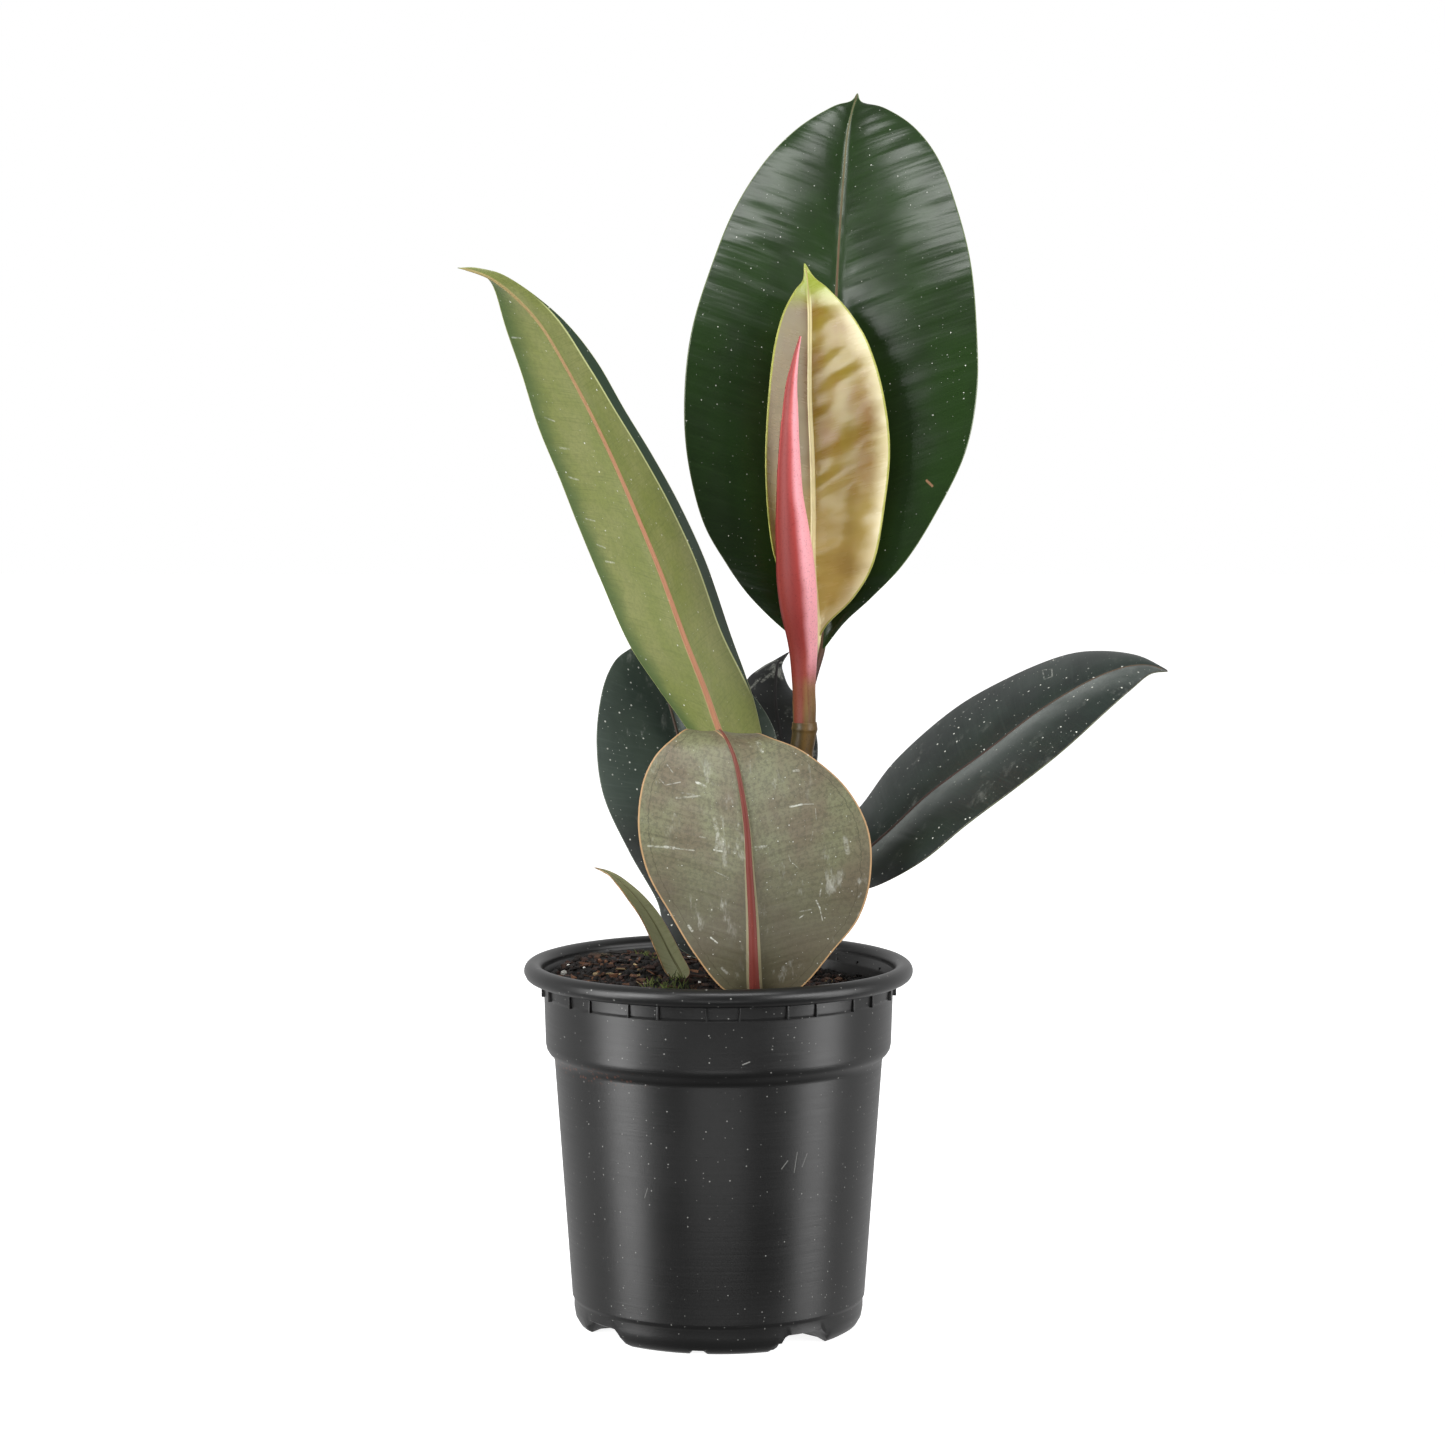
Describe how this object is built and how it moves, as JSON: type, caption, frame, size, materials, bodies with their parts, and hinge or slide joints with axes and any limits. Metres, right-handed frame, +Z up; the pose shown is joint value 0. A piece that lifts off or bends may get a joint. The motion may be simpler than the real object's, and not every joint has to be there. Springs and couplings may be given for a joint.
{
  "type": "potted rubber plant",
  "caption": "Young rubber plant with broad glossy leaves and a pink leaf sheath, standing in a filled black nursery pot.",
  "frame": {"origin": "on the floor, at the centre of the pot's underside", "axes": "+Z up along the pot's axis; -Y towards the side pictured in front; +X to that side's right, where the arching leaf reaches out"},
  "size_m": [0.2749, 0.155, 0.4937],
  "materials": {
    "pot_plastic": "satin",
    "potting_mix": "matte",
    "stem_bark": "satin",
    "bud_skin": "satin",
    "top_leaf_green": "satin",
    "young_leaf_bronze": "gloss",
    "left_leaf_underside": "satin",
    "front_leaf_underside": "matte",
    "right_leaf_green": "satin",
    "back_left_leaf_green": "satin",
    "back_leaf_green": "satin",
    "small_leaf_underside": "matte"
  },
  "bodies": {
    "root": {"pot": "pot_plastic", "soil": "potting_mix", "stem": "stem_bark", "bud_sheath": "bud_skin", "leaf_top": "top_leaf_green", "leaf_young": "young_leaf_bronze", "leaf_left": "left_leaf_underside", "leaf_front": "front_leaf_underside", "leaf_right": "right_leaf_green", "leaf_back_left": "back_left_leaf_green", "leaf_back": "back_leaf_green", "leaf_small": "small_leaf_underside"}
  },
  "joints": []
}
